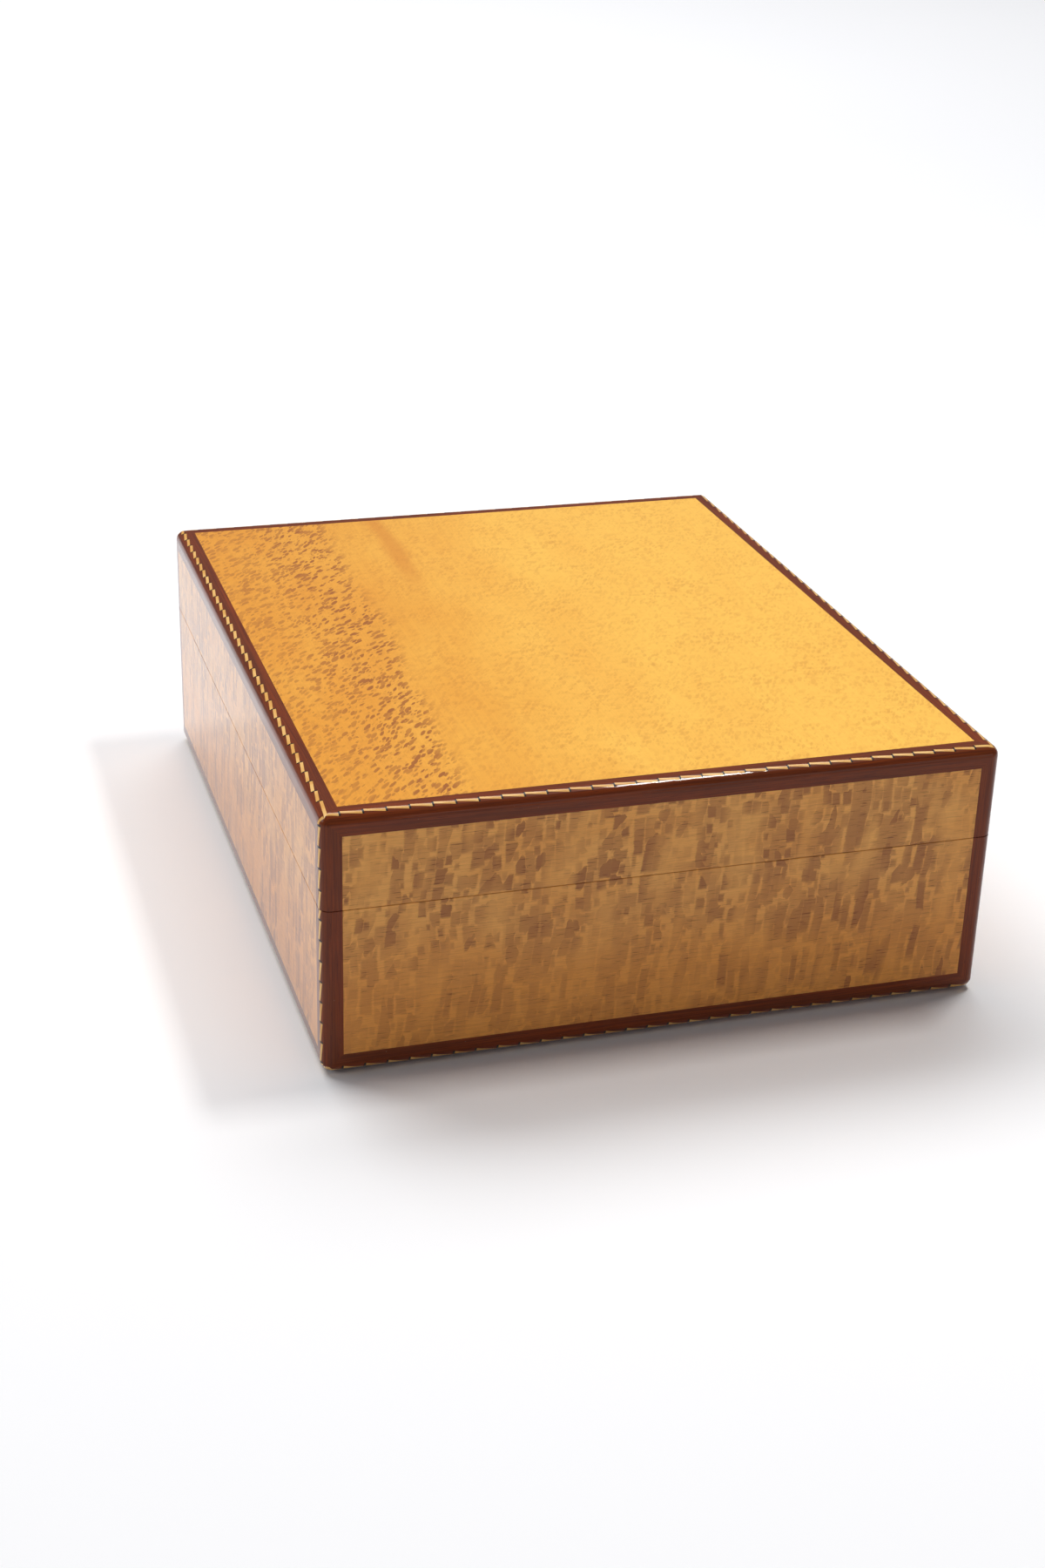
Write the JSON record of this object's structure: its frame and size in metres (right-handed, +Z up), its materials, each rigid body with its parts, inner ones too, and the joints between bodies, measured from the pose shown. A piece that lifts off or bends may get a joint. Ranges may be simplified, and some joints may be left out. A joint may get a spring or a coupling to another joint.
{
  "type": "hinged box",
  "caption": "Rectangular lacquered wooden box with a hinged lid, faced in figured veneer and edged with dark banding and rope stringing.",
  "frame": {"origin": "on the surface that the box stands on, under the middle of the box", "axes": "+X towards the right end, +Y towards the hinged back, +Z up; the lid opens at the front, which faces -Y"},
  "size_m": [0.302, 0.2505, 0.1002],
  "materials": {
    "figured_veneer": "high-gloss clear lacquer over golden lacewood-type veneer",
    "dark_banding": "high-gloss clear lacquer over dark red-brown hardwood",
    "rope_stringing": "high-gloss clear lacquer over light tiles with dark joints",
    "carcass_wood": "sanded, waxed",
    "lining_wood": "satin lacquer",
    "suede_lining": "short-napped suede cloth",
    "base_felt": "pressed felt",
    "hinge_brass": "polished brass"
  },
  "bodies": {
    "case": {"case_wall_front": "carcass_wood", "case_wall_back": "carcass_wood", "case_wall_left": "carcass_wood", "case_wall_right": "carcass_wood", "case_base_panel": "carcass_wood", "case_veneer_front": "figured_veneer", "case_veneer_back": "figured_veneer", "case_veneer_left": "figured_veneer", "case_veneer_right": "figured_veneer", "base_band_front": "dark_banding", "base_band_back": "dark_banding", "base_band_left": "dark_banding", "base_band_right": "dark_banding", "base_rope_ring": "rope_stringing", "base_felt": "base_felt", "case_corner_band_front_left": "dark_banding", "case_corner_band_front_right": "dark_banding", "case_corner_band_back_left": "dark_banding", "case_corner_band_back_right": "dark_banding", "case_corner_rope_front_left": "rope_stringing", "case_corner_rope_front_right": "rope_stringing", "case_corner_rope_back_left": "rope_stringing", "case_corner_rope_back_right": "rope_stringing", "case_lining_frame": "lining_wood", "case_floor_pad": "suede_lining", "hinge_leaf_case": "hinge_brass", "hinge_pin": "hinge_brass", "hinge_screw_case_1": "hinge_brass", "hinge_screw_case_2": "hinge_brass", "hinge_screw_case_3": "hinge_brass", "hinge_screw_case_4": "hinge_brass"},
    "lid": {"lid_wall_front": "carcass_wood", "lid_wall_back": "carcass_wood", "lid_wall_left": "carcass_wood", "lid_wall_right": "carcass_wood", "lid_top_panel": "carcass_wood", "lid_top_veneer": "figured_veneer", "lid_veneer_front": "figured_veneer", "lid_veneer_back": "figured_veneer", "lid_veneer_left": "figured_veneer", "lid_veneer_right": "figured_veneer", "lid_band_front": "dark_banding", "lid_band_back": "dark_banding", "lid_band_left": "dark_banding", "lid_band_right": "dark_banding", "lid_rope_ring": "rope_stringing", "lid_corner_band_front_left": "dark_banding", "lid_corner_band_front_right": "dark_banding", "lid_corner_band_back_left": "dark_banding", "lid_corner_band_back_right": "dark_banding", "lid_corner_rope_front_left": "rope_stringing", "lid_corner_rope_front_right": "rope_stringing", "lid_corner_rope_back_left": "rope_stringing", "lid_corner_rope_back_right": "rope_stringing", "lid_lining_panel": "suede_lining", "hinge_leaf_lid": "hinge_brass", "hinge_screw_lid_1": "hinge_brass", "hinge_screw_lid_2": "hinge_brass", "hinge_screw_lid_3": "hinge_brass", "hinge_screw_lid_4": "hinge_brass"}
  },
  "joints": [
    {"name": "lid_hinge", "type": "hinge", "parent": "case", "child": "lid", "pos_m": [0, 0.124, 0.0658], "axis": [-1, 0, 0], "range_deg": [0, 100]}
  ]
}
